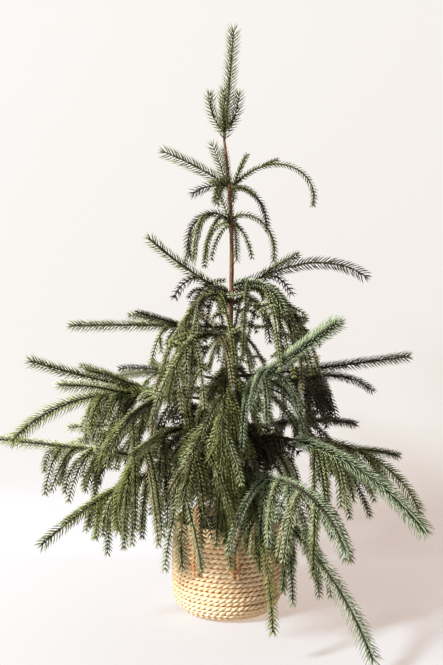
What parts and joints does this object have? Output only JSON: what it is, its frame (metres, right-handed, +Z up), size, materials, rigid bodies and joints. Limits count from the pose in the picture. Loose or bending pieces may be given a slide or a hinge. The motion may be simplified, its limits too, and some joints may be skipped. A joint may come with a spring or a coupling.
{
  "type": "potted weeping spruce tree",
  "caption": "Young weeping spruce with an upright leader, whorled boughs and rope-like hanging twigs, growing in a round woven seagrass basket with rope handles.",
  "frame": {"origin": "middle of the basket's flat underside, on the floor", "axes": "+Z up along the trunk, -Y to the front that the picture shows, +X to the right"},
  "size_m": [1.2281, 1.0459, 1.6236],
  "materials": {
    "needles": "matt grey-green needles",
    "bark": "smooth reddish-brown young bark",
    "soil": "dark damp potting mix",
    "seagrass": "twisted dry seagrass, matt straw colour",
    "rope": "twisted seagrass rope, matt tan"
  },
  "bodies": {
    "root": {"basket": "seagrass", "bough_1_front_left": "bark", "bough_1_front_right": "bark", "bough_1_left": "bark", "bough_1_right_front": "bark", "bough_2_back_left": "bark", "bough_2_back_right": "bark", "bough_2_front_left": "bark", "bough_2_left": "bark", "bough_2_right": "bark", "bough_2_right_front": "bark", "bough_3_back_left": "bark", "bough_3_back_right": "bark", "bough_3_left": "bark", "bough_3_right": "bark", "foliage_1_back": "needles", "foliage_1_back_right": "needles", "foliage_1_front": "needles", "foliage_1_front_left": "needles", "foliage_1_front_right": "needles", "foliage_1_left": "needles", "foliage_1_right_front": "needles", "foliage_2_back": "needles", "foliage_2_back_left": "needles", "foliage_2_back_right": "needles", "foliage_2_front": "needles", "foliage_2_front_left": "needles", "foliage_2_left": "needles", "foliage_2_right": "needles", "foliage_2_right_front": "needles", "foliage_3_back": "needles", "foliage_3_back_left": "needles", "foliage_3_back_right": "needles", "foliage_3_front": "needles", "foliage_3_front_left": "needles", "foliage_3_front_right": "needles", "foliage_3_left": "needles", "foliage_3_right": "needles", "foliage_4_back": "needles", "foliage_4_front_left": "needles", "foliage_4_left": "needles", "foliage_5_back_left": "needles", "foliage_5_back_right": "needles", "foliage_5_front": "needles", "foliage_5_front_left": "needles", "foliage_5_left": "needles", "foliage_5_right": "needles", "foliage_5_right_front": "needles", "foliage_6_back": "needles", "foliage_6_left": "needles", "foliage_6_right": "needles", "foliage_7_back": "needles", "foliage_7_front_right": "needles", "foliage_7_left": "needles", "foliage_7_right": "needles", "foliage_8_leader": "needles", "handle_back": "rope", "handle_front": "rope", "soil": "soil", "trunk": "bark"}
  },
  "joints": []
}
